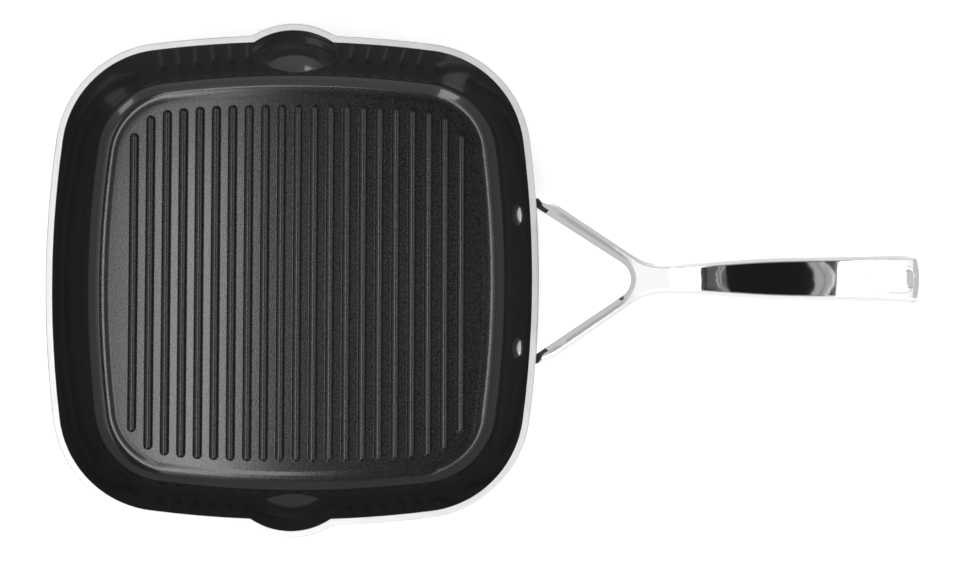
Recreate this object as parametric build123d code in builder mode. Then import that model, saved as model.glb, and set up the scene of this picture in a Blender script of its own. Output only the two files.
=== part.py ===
from build123d import *
import math
import os

os.makedirs("parts", exist_ok=True)

# ----------------------------------------------------------------------------
# Grill pan: cast body with 21 ribs and two pouring spouts, non-stick lining,
# perforated base plate, cast Y-shaped handle and its two rivets.
# Millimetres.  +X runs from the pan's centre to the handle's end, the spouts
# are at +Y and -Y, +Z is up.  The origin is the centre of the pan's base, on
# the surface that it stands on.
# ----------------------------------------------------------------------------

# ---- pan: plan outline of the rim's inner edge (a square with bowed sides) ----
rim_half_x = 137.6          # centre to the inner edge, along X
rim_half_y = 137.2          # centre to the inner edge, along Y
side_radius_x = 620.0       # bow of the two sides that face X
side_radius_y = 638.0       # bow of the two sides that face Y
corner_radius = 60.3

# ---- pan: section ----
rim_height = 42.0           # rim above the surface that the pan stands on
floor_height = 5.2          # cooking floor between the ribs
channel_depth = 0.4         # shallow channel round the cooking floor
channel_inset = 23.8        # rim's inner edge to the channel's inner side, in plan
channel_draft = 84.0        # lean of the channel's inner side
channel_round = 12.0        # rounding of the cooking floor's edge
channel_root = 6.0
body_bottom = 0.5           # underside of the casting, above the surface
wall_draft = 23.0           # wall's lean outward, degrees from vertical
rim_width = 4.3             # flat of the rim, measured across
floor_fillet = 11.0         # wall to channel, inside
rim_edge_fillet = 0.8       # outer edge of the rim
lining = 0.25               # non-stick lining

wall = rim_width * math.cos(math.radians(wall_draft))      # wall's thickness

# ---- ribs: 21 along Y ----
rib_pitch = 9.645
rib_base = 4.5
rib_height = 3.0
rib_draft = 14.0
rib_crown = 1.55            # rounding of the rib's top edges
rib_half_lengths = [104.9, 104.85, 104.75, 104.6, 104.4, 104.0, 103.4, 102.6, 101.4, 98.0, 87.7]

# ---- spouts: round hollows in the walls at +Y and -Y ----
spout_radius = 41.0         # ball that the hollow is cut with
spout_y = 103.0             # its centre, from the pan's centre
spout_rise = 4.0            # its centre, above the rim
spout_inner_limit = 112.0   # the hollow ends before the cooking floor
spout_blend = 6.0           # blend between the spout and the wall, outside

# ---- base plate: perforated steel, set in the underside ----
plate_side = 190.0
plate_corner = 44.0
plate_thick = 1.2
plate_hole = 2.3            # radius of a perforation
plate_pitch = 14.0
plate_grid = 12

# ---- rivets ----
rivet_y = 38.6
rivet_drop = 16.0           # below the rim
rivet_head_radius = 6.2
rivet_head_rise = 2.6
rivet_shank = 2.5
rivet_tail_radius = 3.5
rivet_tail_rise = 1.1
rivet_clearance = 0.03

# ---- handle ----
handle_end = 357.7          # furthest point, from the pan's centre
pad_thick = 2.4
pad_width = 18.0
pad_height = 17.0
pad_y = 40.6
pad_drop = 17.0             # pad's centre below the rim
handle_bevel = 2.5          # bevel along the upper edges
slot_length = 21.4          # hanging slot
slot_width = 12.7
slot_centre = 337.7
# height of the handle's upper surface above the rim plane, along X
top_line = [(143.0, -3.8), (160.0, 2.0), (175.0, 6.9), (190.0, 11.4), (206.0, 15.5), (222.0, 18.6),
            (243.0, 21.3), (270.0, 23.2), (300.0, 24.2), (330.0, 24.3), (348.0, 23.8)]
# and of its underside
under_line = [(353.0, 17.6), (338.0, 17.5), (305.0, 17.0), (270.0, 15.5), (240.0, 12.6),
              (210.0, 7.0), (175.0, -5.1), (157.0, -13.4), (143.0, -20.5)]


# ---- where the sides' arcs and the corner arcs of the outline meet ----
def corner_centre():
    x1, r1 = rim_half_x - side_radius_x, side_radius_x - corner_radius
    y2, r2 = rim_half_y - side_radius_y, side_radius_y - corner_radius
    d = math.hypot(x1, y2)
    along = (r1 * r1 - r2 * r2 + d * d) / (2 * d)
    across = math.sqrt(r1 * r1 - along * along)
    ux, uy = -x1 / d, y2 / d
    px, py = x1 + along * ux, along * uy
    return max((px - across * uy, py + across * ux), (px + across * uy, py - across * ux))


corner_x, corner_y = corner_centre()
side_span = math.degrees(math.atan2(corner_y, corner_x - (rim_half_x - side_radius_x)))
end_span = math.degrees(math.atan2(corner_x, corner_y - (rim_half_y - side_radius_y)))


def pan_outline(inset):
    """The eight tangent arcs of the pan's outline, inset from the rim's inner edge."""
    sx, sy = rim_half_x - side_radius_x, rim_half_y - side_radius_y
    CenterArc((sx, 0), side_radius_x - inset, -side_span, 2 * side_span)
    CenterArc((-sx, 0), side_radius_x - inset, 180 - side_span, 2 * side_span)
    CenterArc((0, sy), side_radius_y - inset, 90 - end_span, 2 * end_span)
    CenterArc((0, -sy), side_radius_y - inset, 270 - end_span, 2 * end_span)
    sweep_angle = 90 - end_span - side_span
    CenterArc((corner_x, corner_y), corner_radius - inset, side_span, sweep_angle)
    CenterArc((-corner_x, corner_y), corner_radius - inset, 90 + end_span, sweep_angle)
    CenterArc((-corner_x, -corner_y), corner_radius - inset, 180 + side_span, sweep_angle)
    CenterArc((corner_x, -corner_y), corner_radius - inset, 270 + end_span, sweep_angle)


lean = math.radians(wall_draft)
rim_plane = Plane(origin=(0, 0, rim_height), x_dir=(1, 0, 0), z_dir=(0, 0, -1))


def spout_form(radius):
    """Ball at the rim of the +Y wall and its mirror image, cut to the wall's zone."""
    with BuildPart() as form:
        with Locations((0, spout_y, rim_height + spout_rise)):
            Sphere(radius)
        with Locations((0, spout_inner_limit, 0)):
            Box(120, 60, rim_height, align=(Align.CENTER, Align.MIN, Align.MIN), mode=Mode.INTERSECT)
        mirror(about=Plane.XZ)
    return form.part


def cavity(skin):
    """The hollow of the pan, smaller by the thickness of a skin on its wall and floor."""
    channel_floor = floor_height - channel_depth + skin
    side = math.radians(channel_draft)
    grow = skin / math.cos(side) - skin * math.tan(side)
    with BuildPart() as plateau:
        with BuildSketch(Plane.XY.offset(channel_floor)):
            with BuildLine():
                pan_outline(channel_inset - grow)
            make_face()
        extrude(amount=channel_depth, taper=channel_draft)
        fillet(plateau.edges().group_by(Axis.Z)[-1], radius=channel_round + skin)
    with BuildPart() as hollow:
        with BuildSketch(rim_plane):
            with BuildLine():
                pan_outline(skin / math.cos(lean))
            make_face()
        extrude(amount=rim_height - channel_floor, taper=wall_draft)
        fillet(hollow.edges().group_by(Axis.Z)[0], radius=floor_fillet - skin)
        add(plateau.part, mode=Mode.SUBTRACT)
        channel_bottom = hollow.faces().sort_by(Axis.Z)[0]
        fillet(channel_bottom.inner_wires()[0].edges(), radius=channel_root - skin)
        add(spout_form(spout_radius - skin))
        add(rib_form(skin), mode=Mode.SUBTRACT)
    return hollow.part


def rib_form(skin):
    """All ribs, grown by the thickness of a skin."""
    grow = skin / math.cos(math.radians(rib_draft)) - skin * math.tan(math.radians(rib_draft))
    with BuildPart() as ribs:
        with BuildSketch(Plane.XY.offset(floor_height + skin)):
            for i, half in enumerate(rib_half_lengths):
                for x in ({0.0} if i == 0 else {-i * rib_pitch, i * rib_pitch}):
                    with Locations((x, 0)):
                        SlotOverall(2 * (half + grow), rib_base + 2 * grow, rotation=90)
        extrude(amount=rib_height, taper=rib_draft)
        fillet(ribs.edges().group_by(Axis.Z)[-1], radius=rib_crown + skin)
    return ribs.part


# ---- places of the rivets and pads on the wall at +X ----
def on_wall(y, drop, depth_out):
    """Frame on the +X wall: origin depth_out outside the inner face, Z square to the wall."""
    centre_x = rim_half_x - side_radius_x
    level_radius = side_radius_x - drop * math.tan(lean)
    turn = math.asin(y / level_radius)
    normal = Vector(math.cos(lean) * math.cos(turn), math.cos(lean) * math.sin(turn), -math.sin(lean))
    inner = Vector(centre_x + level_radius * math.cos(turn), y, rim_height - drop)
    return Plane(origin=inner + normal * depth_out, x_dir=(-math.sin(turn), math.cos(turn), 0), z_dir=normal)


# ---- pan body: one casting ----
full_cavity = cavity(0.0)
with BuildPart() as pan_body:
    with BuildSketch(rim_plane):
        with BuildLine():
            pan_outline(-rim_width)
        make_face()
    extrude(amount=rim_height - body_bottom, taper=wall_draft)
    fillet(pan_body.edges().group_by(Axis.Z)[0], radius=floor_fillet + wall)
    add(spout_form(spout_radius + wall))
    blends = pan_body.edges().filter_by(lambda e: abs(e.center().Y) > 116 and abs(e.center().X) < 26
                                        and 8 < e.center().Z < rim_height - 0.5)
    fillet(blends, radius=spout_blend)
    fillet(pan_body.faces().sort_by(Axis.Z)[-1].edges(), radius=rim_edge_fillet)
    outer_wall = pan_body.part
    add(full_cavity, mode=Mode.SUBTRACT)
    # recess for the base plate, with the plugs that fill its perforations
    with BuildSketch(Plane.XY.offset(body_bottom)):
        RectangleRounded(plate_side, plate_side, plate_corner)
        with GridLocations(plate_pitch, plate_pitch, plate_grid, plate_grid):
            Circle(plate_hole - 0.02, mode=Mode.SUBTRACT)
    extrude(amount=plate_thick - body_bottom, mode=Mode.SUBTRACT)
    # rivet holes
    for side in (-1, 1):
        with BuildSketch(on_wall(side * rivet_y, rivet_drop, -2.0)):
            Circle(rivet_shank + rivet_clearance)
        extrude(amount=wall + 4.0, mode=Mode.SUBTRACT)
pan_body.part.label = "pan_body"
export_step(pan_body.part, "parts/pan_body.step")

# ---- non-stick lining: a thin skin over the whole inside, up to the rim ----
with BuildPart() as nonstick_lining:
    add(full_cavity)
    add(cavity(lining), mode=Mode.SUBTRACT)
    for side in (-1, 1):
        with BuildSketch(on_wall(side * rivet_y, rivet_drop, -3.0)):
            Circle(rivet_shank + rivet_clearance)
        extrude(amount=6.0, mode=Mode.SUBTRACT)
nonstick_lining.part.label = "nonstick_lining"
export_step(nonstick_lining.part, "parts/nonstick_lining.step")

# ---- base plate: the face that the pan stands on ----
with BuildPart() as base_plate:
    with BuildSketch():
        RectangleRounded(plate_side, plate_side, plate_corner)
        with GridLocations(plate_pitch, plate_pitch, plate_grid, plate_grid):
            Circle(plate_hole, mode=Mode.SUBTRACT)
    extrude(amount=plate_thick)
    rim_edges = base_plate.faces().sort_by(Axis.Z)[0].outer_wire().edges()
    chamfer(rim_edges, length=0.35)
base_plate.part.label = "base_plate"
export_step(base_plate.part, "parts/base_plate.step")

# ---- handle: pads that lie on the wall ----
with BuildPart() as pads:
    for side in (-1, 1):
        with BuildSketch(on_wall(side * pad_y, pad_drop, wall - 1.5)):
            RectangleRounded(pad_width, pad_height, 6.5)
        extrude(amount=pad_thick + 1.5)
    outer_edges = pads.faces().sort_by(Axis.X)[-2:].edges()
    fillet(outer_edges, radius=1.2)

# ---- handle: two arms and a grip, as one bar cut to its plan and its side view ----
h = rim_height
with BuildPart() as handle:
    with BuildSketch(Plane.XY.offset(h - 40)):
        with BuildLine():
            tip = ThreePointArc((handle_end, 0), (handle_end - 0.55, 6.95), (handle_end - 2.2, 13.85))
            grip = Spline((handle_end - 2.2, 13.85), (333, 13.2), (306.3, 12.6), (285.9, 12.3), (265.6, 11.6),
                          (247.9, 10.42), (230, 9.2), (211.5, 8.8), tangents=[(-1, -0.03), (-1, 0)])
            neck = ThreePointArc((211.5, 8.8), (202.6, 10.17), (194.4, 14.2))
            arm = Line((194.4, 14.2), (154.6, 41.9))
            shoulder = ThreePointArc((154.6, 41.9), (148.8, 45.3), (142.0, 47.6))
            Line((142.0, 47.6), (132.0, 48.4))
            Line((132.0, 48.4), (132.0, 43.0))
            Line((132.0, 43.0), (138.9, 43.0))
            Line((138.9, 43.0), (188.72, 9.13))
            ThreePointArc((188.72, 9.13), (192.3, 4.9), (193.5, 0))
            mirror(about=Plane.XZ)
        make_face()
    extrude(amount=100)
    with BuildSketch(Plane.XZ):
        with BuildLine():
            Line((131, h - 9.2), (139.4, h - 9.2))
            Line((139.4, h - 9.2), (143.0, h - 3.8))
            Spline(*[(x, h + z) for x, z in top_line], (353.5, h + 23.0), (359.5, h + 20.6))
            Line((359.5, h + 20.6), (359.5, h + 18.0))
            Spline((359.5, h + 18.0), *[(x, h + z) for x, z in under_line])
            Line((143.0, h - 20.5), (131, h - 26.0))
            Line((131, h - 26.0), (131, h - 9.2))
        make_face()
    extrude(amount=60, both=True, mode=Mode.INTERSECT)
    upper = handle.faces().filter_by(lambda f: f.normal_at(f.center()).Z > 0.85 and f.center().X > 145)
    bevel_edges = upper.edges().filter_by(lambda e: e.center().X > 144)
    chamfer(bevel_edges, length=handle_bevel)
    # hanging slot, flared at the upper face
    with BuildSketch(Plane.XY.offset(h)):
        with Locations((slot_centre, 0)):
            RectangleRounded(slot_length, slot_width, 3.6)
    extrude(amount=60, mode=Mode.SUBTRACT)
    with BuildSketch(Plane.XY.offset(h + 20.0)):
        with Locations((slot_centre, 0)):
            RectangleRounded(slot_length, slot_width, 3.6)
    with BuildSketch(Plane.XY.offset(h + 24.8)):
        with Locations((slot_centre + 1.1, 0)):
            RectangleRounded(slot_length + 8.6, slot_width + 3.0, 6.9)
    loft(mode=Mode.SUBTRACT)
    add(pads.part)
    add(outer_wall, mode=Mode.SUBTRACT)
    for side in (-1, 1):
        with BuildSketch(on_wall(side * rivet_y, rivet_drop, wall - 1.0)):
            Circle(rivet_shank + rivet_clearance)
        extrude(amount=pad_thick + 1.6, mode=Mode.SUBTRACT)
handle.part.label = "handle"
export_step(handle.part, "parts/handle.step")

# ---- rivets: domed head inside, shank through wall and pad, formed tail outside ----
for name, side in (("rivet_left", 1), ("rivet_right", -1)):
    seat = on_wall(side * rivet_y, rivet_drop, 0.0)
    inner = -lining - 0.035                      # underside of the head
    outer = wall + pad_thick + 0.02              # underside of the tail
    lip = 0.45
    dome = (rivet_head_radius ** 2 + (rivet_head_rise - lip) ** 2) / (2 * (rivet_head_rise - lip))
    half = math.asin(rivet_head_radius / dome) / 2
    cap = (rivet_tail_radius ** 2 + rivet_tail_rise ** 2) / (2 * rivet_tail_rise)
    half_cap = math.asin(rivet_tail_radius / cap) / 2
    with BuildPart() as rivet:
        with BuildSketch(Plane(origin=seat.origin, x_dir=seat.x_dir, z_dir=seat.x_dir.cross(seat.z_dir))):
            with BuildLine():
                top = inner - rivet_head_rise
                ThreePointArc((0, top), (dome * math.sin(half), top + dome * (1 - math.cos(half))),
                              (rivet_head_radius, inner - lip))
                Polyline((rivet_head_radius, inner - lip), (rivet_head_radius, inner), (rivet_shank, inner),
                         (rivet_shank, outer), (rivet_tail_radius, outer))
                end = outer + rivet_tail_rise
                ThreePointArc((rivet_tail_radius, outer),
                              (cap * math.sin(half_cap), end - cap * (1 - math.cos(half_cap))), (0, end))
                Line((0, end), (0, top))
            make_face()
        revolve(axis=Axis(seat.origin, seat.z_dir))
    rivet.part.label = name
    export_step(rivet.part, f"parts/{name}.step")
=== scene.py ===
import math
import bmesh
import bpy
import numpy as np
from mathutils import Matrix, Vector
from mathutils.geometry import delaunay_2d_cdt


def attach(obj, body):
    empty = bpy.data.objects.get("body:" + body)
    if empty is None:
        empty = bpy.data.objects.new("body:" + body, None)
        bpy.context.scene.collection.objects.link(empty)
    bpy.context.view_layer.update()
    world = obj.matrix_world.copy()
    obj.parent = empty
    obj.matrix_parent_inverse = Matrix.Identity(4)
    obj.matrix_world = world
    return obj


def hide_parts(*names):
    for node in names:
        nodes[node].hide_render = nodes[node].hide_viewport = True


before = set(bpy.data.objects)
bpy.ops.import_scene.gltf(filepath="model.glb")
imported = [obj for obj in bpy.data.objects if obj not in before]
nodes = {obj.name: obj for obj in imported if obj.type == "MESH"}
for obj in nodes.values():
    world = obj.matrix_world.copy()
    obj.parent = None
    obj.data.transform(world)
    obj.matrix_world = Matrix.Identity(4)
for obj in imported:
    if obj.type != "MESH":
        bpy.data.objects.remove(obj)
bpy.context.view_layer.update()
scene = bpy.context.scene
scene.view_settings.view_transform = "Standard"
scene.view_settings.look = "None"


# ---------------------------------------------------------------------------
# small helpers for node trees
# ---------------------------------------------------------------------------
class Tree:
    def __init__(self, tree):
        self.t = tree

    def n(self, kind, **props):
        node = self.t.nodes.new(kind)
        inputs = props.pop("inputs", {})
        for k, v in props.items():
            setattr(node, k, v)
        for k, v in inputs.items():
            self.put(node.inputs[k], v)
        return node

    def put(self, socket, value):
        if isinstance(value, bpy.types.NodeSocket):
            self.t.links.new(value, socket)
        elif isinstance(value, bpy.types.Node):
            self.t.links.new(value.outputs[0], socket)
        else:
            socket.default_value = value

    def math(self, op, a, b=0.0, c=None, clamp=False):
        node = self.t.nodes.new("ShaderNodeMath")
        node.operation = op
        node.use_clamp = clamp
        self.put(node.inputs[0], a)
        self.put(node.inputs[1], b)
        if c is not None:
            self.put(node.inputs[2], c)
        return node.outputs[0]

    def step(self, value, low, high, to_low=0.0, to_high=1.0, smooth=True):
        node = self.t.nodes.new("ShaderNodeMapRange")
        node.interpolation_type = "SMOOTHSTEP" if smooth else "LINEAR"
        self.put(node.inputs["Value"], value)
        node.inputs["From Min"].default_value = low
        node.inputs["From Max"].default_value = high
        self.put(node.inputs["To Min"], to_low)
        self.put(node.inputs["To Max"], to_high)
        return node.outputs[0]

    def mix(self, factor, a, b):
        """Mix of two colours."""
        node = self.t.nodes.new("ShaderNodeMix")
        node.data_type = "RGBA"
        self.put(node.inputs[0], factor)
        self.put(node.inputs[6], a)
        self.put(node.inputs[7], b)
        return node.outputs[2]

    def mixf(self, factor, a, b):
        node = self.t.nodes.new("ShaderNodeMix")
        node.data_type = "FLOAT"
        self.put(node.inputs[0], factor)
        self.put(node.inputs[2], a)
        self.put(node.inputs[3], b)
        return node.outputs[0]

    def xyz(self, vector):
        node = self.t.nodes.new("ShaderNodeSeparateXYZ")
        self.put(node.inputs[0], vector)
        return node.outputs[0], node.outputs[1], node.outputs[2]


def material(name):
    m = bpy.data.materials.new(name)
    m.use_nodes = True
    m.node_tree.nodes.clear()
    t = Tree(m.node_tree)
    out = t.n("ShaderNodeOutputMaterial")
    bsdf = t.n("ShaderNodeBsdfPrincipled")
    t.t.links.new(bsdf.outputs[0], out.inputs[0])
    coord = t.n("ShaderNodeTexCoord").outputs["Object"]
    return m, t, bsdf, coord


def grey(v, a=1.0):
    return (v, v, v, a)


# ---------------------------------------------------------------------------
# materials
# ---------------------------------------------------------------------------
def make_lining():
    m, t, b, co = material("lining_coating")
    x, y, z = t.xyz(co)
    # distance from the rim's inner edge, in plan, in metres
    ax, ay = t.math("ABSOLUTE", x), t.math("ABSOLUTE", y)
    qx = t.math("SUBTRACT", t.math("ADD", ax, t.math("DIVIDE", t.math("MULTIPLY", y, y), 1.24)), 0.0773)
    qy = t.math("SUBTRACT", t.math("ADD", ay, t.math("DIVIDE", t.math("MULTIPLY", x, x), 1.276)), 0.0769)
    qx, qy = t.math("MAXIMUM", qx, 0.0), t.math("MAXIMUM", qy, 0.0)
    d = t.math("SQRT", t.math("ADD", t.math("MULTIPLY", qx, qx), t.math("MULTIPLY", qy, qy)))
    inset = t.math("SUBTRACT", 0.0603, d)
    flat = t.step(inset, 0.0195, 0.0225)          # 1 on the floor and its rounded shoulder
    # leathery grain of the coating
    cells = t.n("ShaderNodeTexVoronoi", feature="F1", inputs={"Vector": co, "Scale": 1700.0})
    noise = t.n("ShaderNodeTexNoise", inputs={"Vector": co, "Scale": 1500.0, "Detail": 2.0, "Roughness": 0.6})
    grain = t.math("ADD", t.math("MULTIPLY", cells.outputs["Distance"], 0.7), t.math("MULTIPLY", noise.outputs[0], 0.8))
    amount = t.mixf(flat, 0.04, 1.0)
    bump = t.n("ShaderNodeBump", inputs={"Height": t.math("MULTIPLY", grain, amount), "Distance": 0.000008, "Strength": 1.0})
    t.put(b.inputs["Normal"], bump)
    large = t.n("ShaderNodeTexNoise", inputs={"Vector": co, "Scale": 30.0, "Detail": 2.0})
    speck = t.xyz(cells.outputs["Color"])[0]
    tone = t.mixf(flat, t.mixf(large.outputs[0], 0.0135, 0.0160), t.mixf(speck, 0.0020, 0.0220))
    comb = t.n("ShaderNodeCombineXYZ", inputs={"X": tone, "Y": tone, "Z": t.math("MULTIPLY", tone, 1.02)})
    t.put(b.inputs["Base Color"], comb)
    t.put(b.inputs["Roughness"], t.mixf(flat, t.mixf(large.outputs[0], 0.07, 0.10), t.mixf(speck, 0.095, 0.075)))
    b.inputs["IOR"].default_value = 1.40
    # the wide, hazy part of its gloss
    b.inputs["Coat Weight"].default_value = 0.5
    b.inputs["Coat Roughness"].default_value = 0.27
    b.inputs["Coat IOR"].default_value = 1.35
    return m


def make_cast():
    m, t, b, co = material("cast_aluminium")
    x, y, z = t.xyz(co)
    bare = t.step(z, 0.04125, 0.04145)
    brushed = t.n("ShaderNodeTexNoise", inputs={"Vector": co, "Scale": 900.0, "Detail": 2.0})
    fine = t.n("ShaderNodeTexNoise", inputs={"Vector": co, "Scale": 60.0, "Detail": 3.0})
    t.put(b.inputs["Metallic"], bare)
    t.put(b.inputs["Base Color"], t.mix(bare, (0.010, 0.010, 0.0105, 1), t.mix(fine.outputs[0], grey(0.60), grey(0.70))))
    t.put(b.inputs["Roughness"], t.mixf(bare, t.mixf(fine.outputs[0], 0.32, 0.42), t.mixf(fine.outputs[0], 0.36, 0.48)))
    bump = t.n("ShaderNodeBump", inputs={"Height": brushed.outputs[0], "Distance": 0.00003, "Strength": 0.6})
    t.put(b.inputs["Normal"], bump)
    return m


def make_plate():
    m, t, b, co = material("brushed_plate")
    x, y, z = t.xyz(co)
    r = t.math("SQRT", t.math("ADD", t.math("MULTIPLY", x, x), t.math("MULTIPLY", y, y)))
    comb = t.n("ShaderNodeCombineXYZ", inputs={"X": t.math("MULTIPLY", r, 900.0)})
    rings = t.n("ShaderNodeTexNoise", inputs={"Vector": comb, "Scale": 1.0, "Detail": 4.0, "Roughness": 0.7})
    b.inputs["Metallic"].default_value = 1.0
    t.put(b.inputs["Base Color"], t.mix(rings.outputs[0], grey(0.48), grey(0.62)))
    t.put(b.inputs["Roughness"], t.mixf(rings.outputs[0], 0.26, 0.38))
    bump = t.n("ShaderNodeBump", inputs={"Height": rings.outputs[0], "Distance": 0.00002, "Strength": 0.7})
    t.put(b.inputs["Normal"], bump)
    return m


def make_polished(name, tone, rough, round_off):
    m, t, b, co = material(name)
    edge = t.n("ShaderNodeBevel", samples=6, inputs={"Radius": round_off})
    wave = t.n("ShaderNodeTexNoise", inputs={"Vector": co, "Scale": 90.0, "Detail": 1.0})
    fine = t.n("ShaderNodeTexNoise", inputs={"Vector": co, "Scale": 700.0, "Detail": 3.0})
    b.inputs["Metallic"].default_value = 1.0
    t.put(b.inputs["Base Color"], t.mix(fine.outputs[0], grey(tone - 0.03), grey(tone + 0.02)))
    t.put(b.inputs["Roughness"], t.mixf(fine.outputs[0], rough * 0.8, rough * 1.3))
    bump = t.n("ShaderNodeBump", inputs={"Height": wave.outputs[0], "Distance": 0.00002, "Strength": 0.4, "Normal": edge})
    t.put(b.inputs["Normal"], bump)
    return m


# ---------------------------------------------------------------------------
# the non-stick lining as a fine mesh: wall, spouts, channel, shoulder, floor
# and ribs, all in one surface.  Lengths in millimetres here, metres in the mesh
# ---------------------------------------------------------------------------
HX, HY, RX, RY, RC = 137.6, 137.2, 620.0, 638.0, 60.3     # the rim's inner outline
TOP_Z, SKIN, LEAN = 42.0, 0.25, math.radians(23.0)
FLOOR = 5.45                                              # cooking floor, on top of the lining
SHOULDER = [(0.0, 0.0), (0.35, 9.5), (2.0, 9.5), (2.6, 1.5), (4.0, 0.5), (5.0, 0.0)]   # (from the foot, outward slope)
RIB_PITCH, RIB_HALF, RIB_RISE, RIB_SIDE = 9.645, 2.49, 3.0, math.radians(76.0)
RIB_DOME, RIB_DOME_TILT, RIB_EDGE, RIB_ROOT = 4.5, math.radians(17.5), 0.9, 0.30
RIB_ENDS = [104.9, 104.85, 104.75, 104.6, 104.4, 104.0, 103.4, 102.6, 101.4, 98.0, 87.7]


def outline():
    """Points on the rim's inner edge with their outward normals, all the way round."""
    x1, r1, y2, r2 = HX - RX, RX - RC, HY - RY, RY - RC
    d = math.hypot(x1, y2)
    along = (r1 * r1 - r2 * r2 + d * d) / (2 * d)
    across = math.sqrt(r1 * r1 - along * along)
    ux, uy = -x1 / d, y2 / d
    cx, cy = max((along * ux + x1 - across * uy, along * uy + across * ux),
                 (along * ux + x1 + across * uy, along * uy - across * ux))
    a = math.atan2(cy, cx - x1)                  # half span of the sides that face X
    b = math.atan2(cx, cy - y2)                  # half span of the sides that face Y
    quarter = math.pi / 2
    arcs = [(x1, 0, RX, -a, a, 220), (cx, cy, RC, a, quarter - b, 84),
            (0, y2, RY, quarter - b, quarter + b, 420), (-cx, cy, RC, quarter + b, 2 * quarter - a, 84),
            (-x1, 0, RX, 2 * quarter - a, 2 * quarter + a, 220), (-cx, -cy, RC, 2 * quarter + a, 3 * quarter - b, 84),
            (0, -y2, RY, 3 * quarter - b, 3 * quarter + b, 420), (cx, -cy, RC, 3 * quarter + b, 4 * quarter - a, 84)]
    out = []
    for ox, oy, r, f0, f1, n in arcs:
        for i in range(n):
            f = f0 + (f1 - f0) * i / n
            out.append((ox + r * math.cos(f), oy + r * math.sin(f), math.cos(f), math.sin(f)))
    return np.array(out)


def section(nx, ny):
    """The pan's inside section at one place: (inset, height) from the rim down to the cooking floor."""
    wr = max(0.0, nx) ** 12
    gentle = 1 - 0.55 * max(min(1.0, max(0.0, nx) * 3), abs(ny) ** 6)      # the shoulder is steepest at -X
    lead, turn = 30.0 + 14.0 * wr, math.radians(2.6 + 1.9 * wr)
    bend = 10.7 + 1.6 * wr
    steep = math.pi / 2 - LEAN
    # shoulder, from the foot inwards
    su = np.linspace(0, 5.0, 30)
    slope = np.interp(su, [p[0] for p in SHOULDER], [math.radians(p[1] * gentle) for p in SHOULDER])
    sz = np.concatenate([[0.0], np.cumsum((np.tan(slope[1:]) + np.tan(slope[:-1])) / 2 * np.diff(su))])
    foot_z = FLOOR - sz[-1]
    # foot outwards: a shallow lead and then the tight bend up to the wall
    up, out = [], []
    for f in np.linspace(0, turn, 7)[1:]:
        out.append(lead * math.sin(f)); up.append(lead * (1 - math.cos(f)))
    for f in np.linspace(turn, steep, 27)[1:]:
        out.append(lead * math.sin(turn) + bend * (math.sin(f) - math.sin(turn)))
        up.append(lead * (1 - math.cos(turn)) + bend * (math.cos(turn) - math.cos(f)))
    top_inset = SKIN / math.cos(LEAN) + (TOP_Z - foot_z - up[-1]) * math.tan(LEAN)
    foot = top_inset + out[-1]
    rows = [(0.0, TOP_Z - 0.03), (0.03, TOP_Z), (SKIN / math.cos(LEAN) - 0.05, TOP_Z)]
    for k in range(46):
        z = TOP_Z - 0.05 - (TOP_Z - 0.05 - foot_z - up[-1]) * k / 46
        rows.append((SKIN / math.cos(LEAN) + (TOP_Z - z) * math.tan(LEAN), z))
    for o, u in reversed(list(zip(out, up))):
        rows.append((foot - o, foot_z + u))
    for u, z in zip(su, sz):
        rows.append((foot + u, foot_z + z))
    return rows


def rib_rings(k):
    """Rings of one rib from its root to its crown: each a closed run of (x, y, z)."""
    half = RIB_ENDS[abs(k)] + 0.2 - RIB_HALF
    x0 = k * RIB_PITCH
    tan_half = math.tan(RIB_SIDE / 2)
    prof = [(-RIB_ROOT * tan_half - 0.22, FLOOR)]           # a flat margin around the root
    for f in np.linspace(0, RIB_SIDE, 7):
        prof.append((-RIB_ROOT * tan_half + RIB_ROOT * math.sin(f), FLOOR + RIB_ROOT * (1 - math.cos(f))))
    top = FLOOR + RIB_RISE
    dome = [(RIB_DOME * math.sin(f), top - RIB_DOME * (1 - math.cos(f))) for f in np.linspace(0.01, RIB_DOME_TILT, 8)]
    ex, ez = dome[-1]
    side = [(ex + RIB_EDGE * (math.sin(f) - math.sin(RIB_DOME_TILT)), ez - RIB_EDGE * (math.cos(RIB_DOME_TILT) - math.cos(f)))
            for f in np.linspace(RIB_DOME_TILT, RIB_SIDE, 9)[1:]]
    prof += [(RIB_HALF - u, z) for u, z in reversed(dome + side)]
    rings = []
    steps = 24
    for w, z in prof:
        r = RIB_HALF - w
        ring = []
        for i in range(steps):
            ring.append((x0 + r, -half + 2 * half * i / steps, z))
        for i in range(16):
            f = math.pi * i / 16
            ring.append((x0 + r * math.cos(f), half + r * math.sin(f), z))
        for i in range(steps):
            ring.append((x0 - r, half - 2 * half * i / steps, z))
        for i in range(16):
            f = math.pi + math.pi * i / 16
            ring.append((x0 + r * math.cos(f), -half + r * math.sin(f), z))
        rings.append(ring)
    return rings, half


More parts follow.
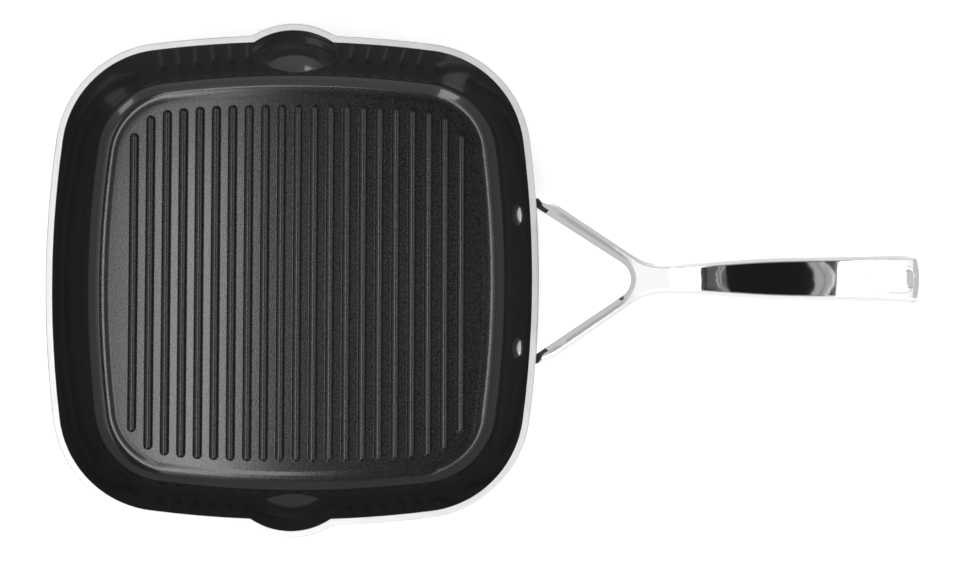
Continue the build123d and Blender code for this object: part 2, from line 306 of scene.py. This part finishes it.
def build_lining():
    line = outline()
    n = len(line)
    verts, faces = [], []
    for px, py, nx, ny in line:
        for j, (t, z) in enumerate(section(nx, ny)):
            x, y = px - t * nx, py - t * ny
            ball = 41.0 if j < 2 else 41.0 - SKIN
            q = ball * ball - x * x - (z - 46.0) ** 2
            if q > 0 and z > 6.0 and abs(ny) > 0.8:
                y = math.copysign(max(abs(y), 103.0 + math.sqrt(q)), y)
            verts.append((x, y, z))
    m = len(section(1.0, 0.0))
    for i in range(n):
        k = (i + 1) % n
        for j in range(m - 1):
            faces.append((i * m + j, k * m + j, k * m + j + 1, i * m + j + 1))
    border = [i * m + m - 1 for i in range(n)]
    flat_points = [(verts[i][0], verts[i][1]) for i in border]
    flat_index = list(border)
    edges = [(i, (i + 1) % n) for i in range(n)]
    stadiums = []
    for k in range(-10, 11):
        rings, half = rib_rings(k)
        base, count = len(verts), len(rings[0])
        for ring in rings:
            verts.extend(ring)
        for r in range(len(rings) - 1):
            for i in range(count):
                j = (i + 1) % count
                faces.append((base + r * count + i, base + r * count + j, base + (r + 1) * count + j, base + (r + 1) * count + i))
        last = base + (len(rings) - 1) * count
        faces.append(tuple(last + i for i in range(count)))
        first = len(flat_points)
        flat_points.extend((v[0], v[1]) for v in rings[0])
        flat_index.extend(base + i for i in range(count))
        edges.extend((first + i, first + (i + 1) % count) for i in range(count))
        stadiums.append((k * RIB_PITCH, half, RIB_HALF + 0.22 + RIB_ROOT * math.tan(RIB_SIDE / 2)))
    pts = [Vector(p) for p in flat_points]
    got_v, got_e, got_f, orig_v, orig_e, orig_f = delaunay_2d_cdt(pts, edges, [], 0, 1e-6)
    ring_xy = np.array(flat_points[:n])

    def inside(x, y):
        x1, y1 = ring_xy[:, 0], ring_xy[:, 1]
        x2, y2 = np.roll(x1, -1), np.roll(y1, -1)
        cross = (y1 > y) != (y2 > y)
        at = x1 + (y - y1) / np.where(y2 == y1, 1e-12, y2 - y1) * (x2 - x1)
        return bool(np.sum(cross & (at > x)) % 2)

    index = [flat_index[o[0]] for o in orig_v]
    for tri in got_f:
        cxm = sum(got_v[i][0] for i in tri) / len(tri)
        cym = sum(got_v[i][1] for i in tri) / len(tri)
        if any(math.hypot(cxm - x0, max(0.0, abs(cym) - half)) < r - 1e-4 for x0, half, r in stadiums):
            continue
        if inside(cxm, cym):
            faces.append(tuple(index[i] for i in tri))
    me = bpy.data.meshes.new("lining_shell")
    me.from_pydata([(x / 1000, y / 1000, z / 1000) for x, y, z in verts], [], faces)
    me.validate()
    bm = bmesh.new()
    bm.from_mesh(me)
    bmesh.ops.recalc_face_normals(bm, faces=bm.faces)
    up = sum(f.normal.z * f.calc_area() for f in bm.faces)
    if up < 0:
        bmesh.ops.reverse_faces(bm, faces=bm.faces)
    bm.to_mesh(me)
    bm.free()
    o = bpy.data.objects.new("lining_shell", me)
    scene.collection.objects.link(o)
    solid = o.modifiers.new("skin", "SOLIDIFY")
    solid.thickness = 0.00022
    solid.offset = -1.0
    return o


mats = {
    "nonstick_lining": make_lining(),
    "pan_body": make_cast(),
    "base_plate": make_plate(),
    "handle": make_polished("polished_cast", 0.86, 0.028, 0.0013),
    "rivet_left": None,
    "rivet_right": None,
}
mats["rivet_left"] = mats["rivet_right"] = make_polished("rivet_polish", 0.72, 0.16, 0.0004)
for name, m in mats.items():
    slots = nodes[name].material_slots
    for i in range(len(slots)):
        slots[i].material = m

lining = build_lining()
lining.data.materials.append(mats["nonstick_lining"])
for p in lining.data.polygons:
    p.use_smooth = True
lining.data.set_sharp_from_angle(angle=math.radians(38))
bpy.context.view_layer.objects.active = lining
lining.select_set(True)
bpy.ops.object.modifier_apply(modifier="skin")
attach(lining, "root")
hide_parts("nonstick_lining")


# ---------------------------------------------------------------------------
# camera
# ---------------------------------------------------------------------------
RIM = 0.042
cam = bpy.data.cameras.new("cam")
camera = bpy.data.objects.new("cam", cam)
scene.collection.objects.link(camera)
camera.location = (0.10994, -0.07026, 1.37353 + RIM)
camera.rotation_euler = (math.radians(2.902), math.radians(-0.033), math.radians(0.155))
cam.sensor_width = 36.0
cam.lens = 89.07
cam.clip_start = 0.01
cam.clip_end = 50.0
scene.camera = camera


# ---------------------------------------------------------------------------
# floor, cards and light
# ---------------------------------------------------------------------------
def emission(name, strength, colour=(1, 1, 1, 1)):
    m = bpy.data.materials.new(name)
    m.use_nodes = True
    m.node_tree.nodes.clear()
    t = Tree(m.node_tree)
    out = t.n("ShaderNodeOutputMaterial")
    e = t.n("ShaderNodeEmission", inputs={"Color": colour, "Strength": strength})
    t.t.links.new(e.outputs[0], out.inputs[0])
    return m


def card(name, corners, mat, camera_sees=False):
    me = bpy.data.meshes.new(name)
    me.from_pydata([Vector(c) for c in corners], [], [tuple(range(len(corners)))])
    me.materials.append(mat)
    o = bpy.data.objects.new(name, me)
    scene.collection.objects.link(o)
    o.visible_camera = camera_sees
    return o


def rect(name, x0, x1, y0, y1, z, mat):
    return card(name, [(x0, y0, z), (x1, y0, z), (x1, y1, z), (x0, y1, z)], mat)


floor_glow_mat, t, b, co = material("floor_pale_painted_glow")
n = t.n("ShaderNodeTexNoise", inputs={"Vector": co, "Scale": 40.0, "Detail": 3.0})
fx, fy, fz = t.xyz(co)
fr = t.math("SQRT", t.math("ADD", t.math("POWER", t.math("SUBTRACT", fx, 0.1), 2.0), t.math("POWER", fy, 2.0)))
t.put(b.inputs["Base Color"], t.mix(n.outputs[0], grey(0.84), grey(0.88)))
b.inputs["Roughness"].default_value = 0.9
# painted light: the floor glows with strength 0.55 around the pan, fading to 0.10 beyond about 1.15 m, a painted pool
# of light that washes out the pan's shadow
b.inputs["Emission Color"].default_value = grey(1.0)
t.put(b.inputs["Emission Strength"], t.step(fr, 0.45, 1.15, 0.55, 0.10))
floor = card("floor", [(-6, -6, -0.0002), (6, -6, -0.0002), (6, 6, -0.0002), (-6, 6, -0.0002)], floor_glow_mat, True)

# the room: radiance by direction
world = bpy.data.worlds.new("studio")
scene.world = world
world.use_nodes = True
world.node_tree.nodes.clear()
t = Tree(world.node_tree)
out = t.n("ShaderNodeOutputWorld")
gen = t.n("ShaderNodeTexCoord").outputs["Generated"]
gx, gy, gz = t.xyz(gen)
south = t.step(t.math("MULTIPLY", gy, -1.0), 0.75, 0.97, 0.0, 0.42)       # bright side, at -Y
corner = t.math("ADD", t.math("MULTIPLY", gx, 0.574), t.math("MULTIPLY", gy, -0.819))
dim = t.step(corner, 0.90, 0.985, 0.0, 0.0)
low = t.math("SUBTRACT", t.math("ADD", 0.64, south), dim)
sky = t.mixf(t.step(gz, 0.60, 0.97), low, 0.60)
bg = t.n("ShaderNodeBackground", inputs={"Color": grey(1.0), "Strength": sky})
t.t.links.new(bg.outputs[0], out.inputs[0])

TOP = 3.80          # height of the cards above the pan


SLANT, SLANT_Y = 0.167, 0.19        # the light panels stand a little askew to the pan


def emission_x(name, stops, fade=None, lean=SLANT):
    """Emission that changes across a panel: stops are (x, strength); fade is (y0, y1, factor, rise beyond)."""
    m = bpy.data.materials.new(name)
    m.use_nodes = True
    m.node_tree.nodes.clear()
    t = Tree(m.node_tree)
    out = t.n("ShaderNodeOutputMaterial")
    x, y, z = t.xyz(t.n("ShaderNodeTexCoord").outputs["Object"])
    u = t.math("SUBTRACT", x, t.math("MULTIPLY", t.math("SUBTRACT", y, SLANT_Y), lean))
    value = stops[0][1]
    for (x0, v0), (x1, v1) in zip(stops[:-1], stops[1:]):
        value = t.math("ADD", value, t.step(u, x0, x1, 0.0, v1 - v0))
    if fade:
        level = t.math("ADD", t.step(y, fade[0], fade[1], 1.0, fade[2]), t.step(y, 0.75, 1.00, 0.0, fade[3]))
        value = t.math("MULTIPLY", value, t.math("ADD", level, t.step(y, -0.70, -0.45, -0.30, 0.0)))
    e = t.n("ShaderNodeEmission", inputs={"Color": grey(1.0), "Strength": value})
    t.t.links.new(e.outputs[0], out.inputs[0])
    return m


dark = emission("rig_dark", 0.012)
band = emission("rig_grey", 0.11)
stripe = emission("rig_light", 0.40)
stripe_low = emission("rig_mid", 0.24)
edge = emission("rig_edge", 1.3)
soft = emission_x("softbox", [(-0.90, 6.0), (-0.83, 6.0), (-0.80, 2.0), (-0.635, 2.0), (-0.600, 8.8), (-0.57, 10.0), (-0.44, 8.0),
                              (-0.380, 0.05)], fade=(0.33, 0.66, 0.40, 0.08), lean=0.0)
far_left = emission_x("panel_far", [(-2.4, 0.45), (-1.9, 0.45), (-1.6, 1.1)])
right = emission_x("panel_right", [(0.80, 4.2), (0.96, 4.2), (1.05, 1.25), (2.4, 1.05)])
def slanted(name, x0, x1, y0, y1, z, mat):
    e = lambda x, y: (x + SLANT * (y - SLANT_Y), y, z)
    return card(name, [e(x0, y0), e(x1, y0), e(x1, y1), e(x0, y1)], mat)


slanted("rig", -0.320, 0.815, -1.7, 2.6, TOP, dark)
slanted("soft_left", -0.90, -0.320, -1.7, 2.6, TOP, soft)
slanted("panel_left", -2.6, -0.90, -0.8, 1.2, TOP, far_left)
slanted("panel_right", 0.815, 2.4, -0.6, 1.0, TOP, right)
# lighter strips on the edges of the dark panel
Z1, Z2, Z3 = TOP - 0.004, TOP - 0.008, TOP - 0.012
card("strip_l1", [(-0.313, 0.30, Z1), (-0.295, 0.222, Z1), (-0.31, 0.19, Z1), (-0.296, 0.177, Z1), (-0.178, 0.164, Z1),
                  (-0.13, 0.10, Z1), (-0.009, 0.10, Z1), (-0.05, 0.30, Z1)], band)
card("strip_l2", [(-0.125, 0.245, Z2), (-0.146, 0.221, Z2), (-0.192, 0.204, Z2), (-0.147, 0.171, Z2), (-0.081, 0.161, Z2),
                  (-0.06, 0.14, Z2), (-0.040, 0.14, Z2), (-0.052, 0.161, Z2), (-0.126, 0.178, Z2), (-0.160, 0.204, Z2),
                  (-0.116, 0.222, Z2), (-0.100, 0.245, Z2)], stripe)
card("strip_l3", [(-0.075, 0.245, Z2), (-0.09, 0.222, Z2), (-0.138, 0.205, Z2), (-0.108, 0.178, Z2), (-0.035, 0.161, Z2),
                  (-0.01, 0.14, Z2), (0.010, 0.14, Z2), (-0.009, 0.161, Z2), (-0.088, 0.176, Z2), (-0.108, 0.200, Z2),
                  (-0.055, 0.223, Z2), (-0.040, 0.245, Z2)], stripe)
card("strip_r1", [(0.60, 0.26, Z1), (0.61, 0.233, Z1), (0.647, 0.212, Z1), (0.656, 0.188, Z1), (0.654, 0.169, Z1),
                  (0.631, 0.155, Z1), (0.60, 0.13, Z1), (0.72, 0.13, Z1), (0.746, 0.155, Z1), (0.781, 0.181, Z1),
                  (0.787, 0.202, Z1), (0.761, 0.216, Z1), (0.717, 0.233, Z1), (0.69, 0.26, Z1)], stripe)
card("strip_r2", [(0.655, 0.26, Z2), (0.667, 0.231, Z2), (0.686, 0.216, Z2), (0.724, 0.201, Z2), (0.735, 0.193, Z2),
                  (0.696, 0.157, Z2), (0.68, 0.13, Z2), (0.70, 0.13, Z2), (0.714, 0.157, Z2), (0.752, 0.193, Z2),
                  (0.740, 0.201, Z2), (0.703, 0.216, Z2), (0.683, 0.231, Z2), (0.67, 0.26, Z2)], stripe_low)
card("strip_r3", [(0.69, 0.26, Z2), (0.717, 0.233, Z2), (0.761, 0.216, Z2), (0.787, 0.202, Z2), (0.781, 0.181, Z2),
                  (0.746, 0.155, Z2), (0.72, 0.13, Z2), (0.728, 0.13, Z2), (0.755, 0.155, Z2), (0.790, 0.181, Z2),
                  (0.796, 0.202, Z2), (0.770, 0.216, Z2), (0.726, 0.233, Z2), (0.70, 0.26, Z2)], edge)


def panel(name, azimuth, half_width, near, far, distance, mat):
    """A soft panel: azimuth from +X, from near to far degrees off the vertical."""
    pts = []
    for a, e in ((-1, near), (1, near), (1, far), (-1, far)):
        az, ze = math.radians(azimuth + a * half_width), math.radians(e)
        pts.append((distance * math.sin(ze) * math.cos(az), distance * math.sin(ze) * math.sin(az), distance * math.cos(ze)))
    return card(name, pts, mat)


panel("soft_front_left", -117, 9, 10, 66, 2.4, emission("softbox_front_left", 6.5))
panel("soft_front_right", -50, 9, 32, 67, 2.4, emission("softbox_front_right", 5.0))
# small bounce card in the fork, which lights the inner edges of the handle's arms
card("bounce", [(0.1435, -0.037, 0.002), (0.1435, 0.037, 0.002), (0.1435, 0.037, 0.062), (0.1435, -0.037, 0.062)], emission("bounce_white", 0.62))
